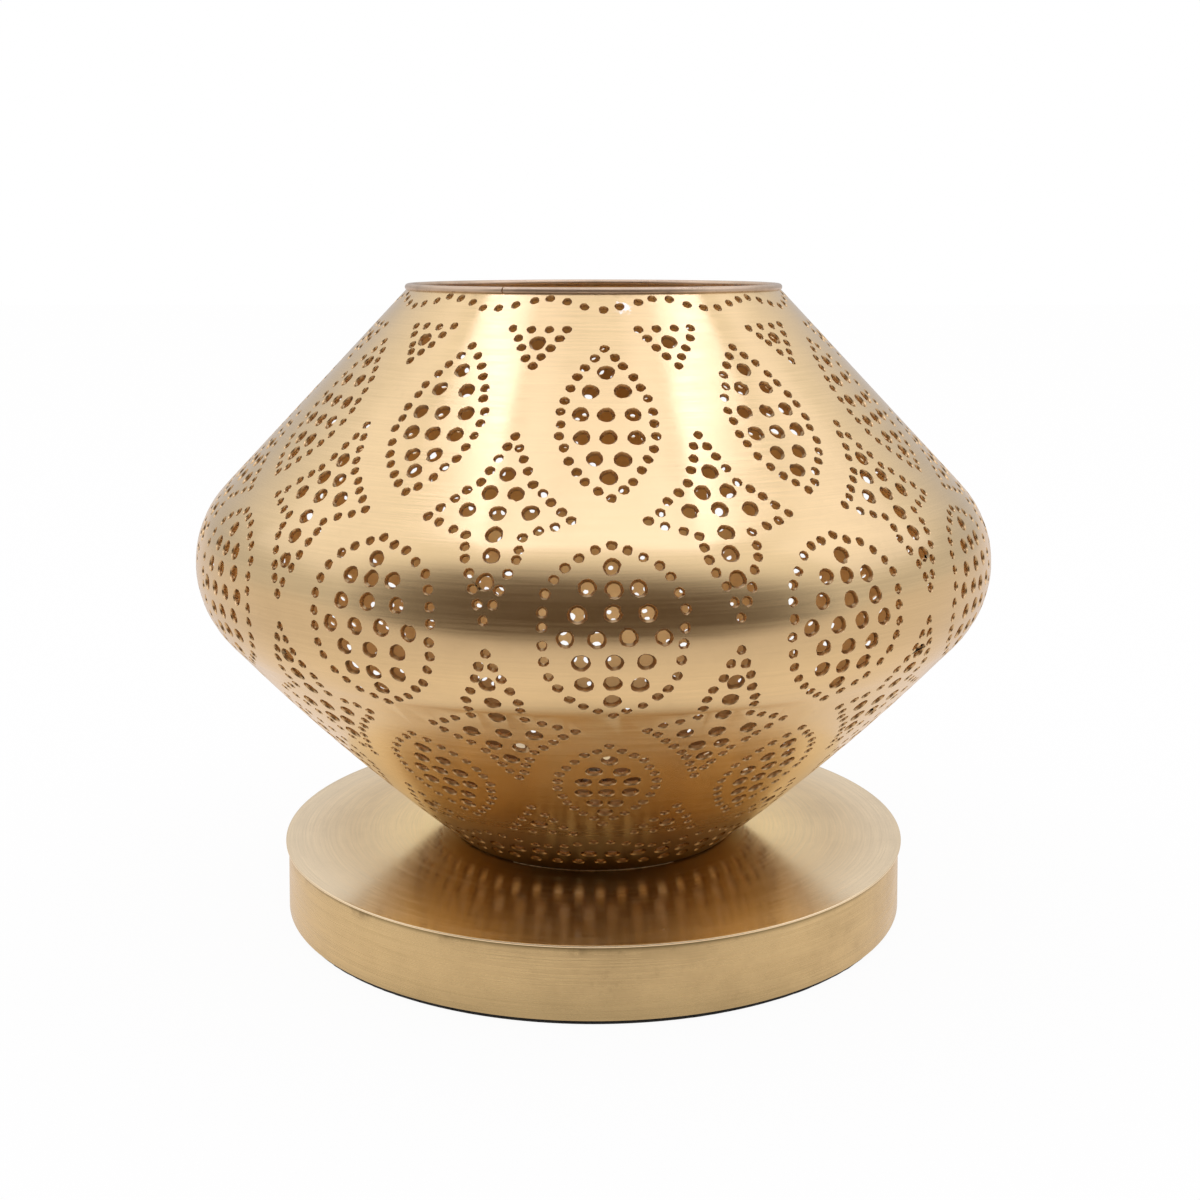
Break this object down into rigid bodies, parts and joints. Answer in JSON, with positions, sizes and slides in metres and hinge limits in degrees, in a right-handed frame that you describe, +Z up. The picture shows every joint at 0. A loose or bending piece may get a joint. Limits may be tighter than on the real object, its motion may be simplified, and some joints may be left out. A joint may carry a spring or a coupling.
{
  "type": "tealight holder",
  "caption": "Double-cone pierced brass shade with a wired rim, screwed to a round brass-clad base with felt under it; a tealight stands on its floor.",
  "frame": {"origin": "centre of the felt's underside, where the holder stands on a table", "axes": "+Z up along the holder's turning axis, -Y towards the viewer of the picture"},
  "size_m": [0.1772, 0.1772, 0.1405],
  "materials": {
    "brass": "brushed",
    "dull_brass": "darkened",
    "steel": "zinc plated",
    "board": "raw fibreboard",
    "felt": "black felt"
  },
  "bodies": {
    "root": {"felt_pad": "felt", "base_board": "board", "base_side_band": "brass", "base_top_disc": "brass", "shade": "brass", "rim_wire": "dull_brass", "floor_screw_1": "steel", "floor_screw_2": "steel", "floor_screw_3": "steel"}
  },
  "joints": []
}
